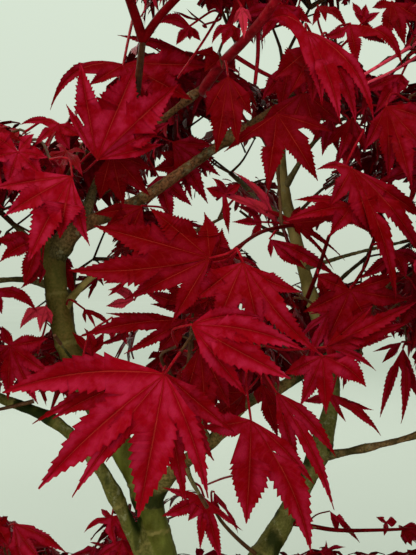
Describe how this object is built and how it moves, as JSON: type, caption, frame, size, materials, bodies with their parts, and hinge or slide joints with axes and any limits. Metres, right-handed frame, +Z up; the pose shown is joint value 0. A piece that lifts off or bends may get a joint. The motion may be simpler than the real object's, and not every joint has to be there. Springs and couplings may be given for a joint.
{
  "type": "japanese maple bonsai",
  "caption": "Small potted maple with forked, leaning stems, tapering boughs and open masses of crimson palmate leaves in a plain oval stoneware pot.",
  "frame": {"origin": "centre of the pot's flat underside", "axes": "+Z up from the pot's underside, +X along the pot's long side to the right as seen from the front, +Y to the back"},
  "size_m": [0.4992, 0.3883, 0.5525],
  "materials": {
    "bark": "smooth olive bark",
    "young_bark": "brown bark, slightly rough",
    "leaf": "satin crimson leaf",
    "pot": "unglazed stoneware",
    "soil": "fine granular soil"
  },
  "bodies": {
    "root": {"pot": "pot", "soil": "soil", "trunk": "bark", "right_stem": "bark", "right_leader": "bark", "right_bough": "young_bark", "knot_twig": "young_bark", "lower_left_bough": "bark", "inner_bough": "bark", "front_bough": "young_bark", "fork_twig": "young_bark", "front_left_bough": "young_bark", "side_bough": "young_bark", "upper_bough": "bark", "crown_bough": "young_bark", "shoulder_bough": "young_bark", "left_bough": "young_bark", "back_left_bough": "young_bark", "top_right_bough": "young_bark", "mid_right_bough": "young_bark", "back_right_bough": "young_bark", "back_bough": "young_bark", "back_low_bough": "young_bark", "low_left_bough": "bark", "low_right_bough": "bark", "low_back_bough": "bark", "leaves_apex": "leaf", "leaves_top_left": "leaf", "leaves_top_right": "leaf", "leaves_crown_middle": "leaf", "leaves_shoulder": "leaf", "leaves_left": "leaf", "leaves_left_low": "leaf", "leaves_inner": "leaf", "leaves_front_left": "leaf", "leaves_front": "leaf", "leaves_front_right": "leaf", "leaves_right": "leaf", "leaves_right_low": "leaf", "leaves_back_left": "leaf", "leaves_back": "leaf", "leaves_back_right": "leaf", "leaves_back_low": "leaf", "leaves_fork": "leaf", "leaves_knot": "leaf", "leaves_low_left": "leaf", "leaves_low_right": "leaf", "leaves_low_back": "leaf"}
  },
  "joints": []
}
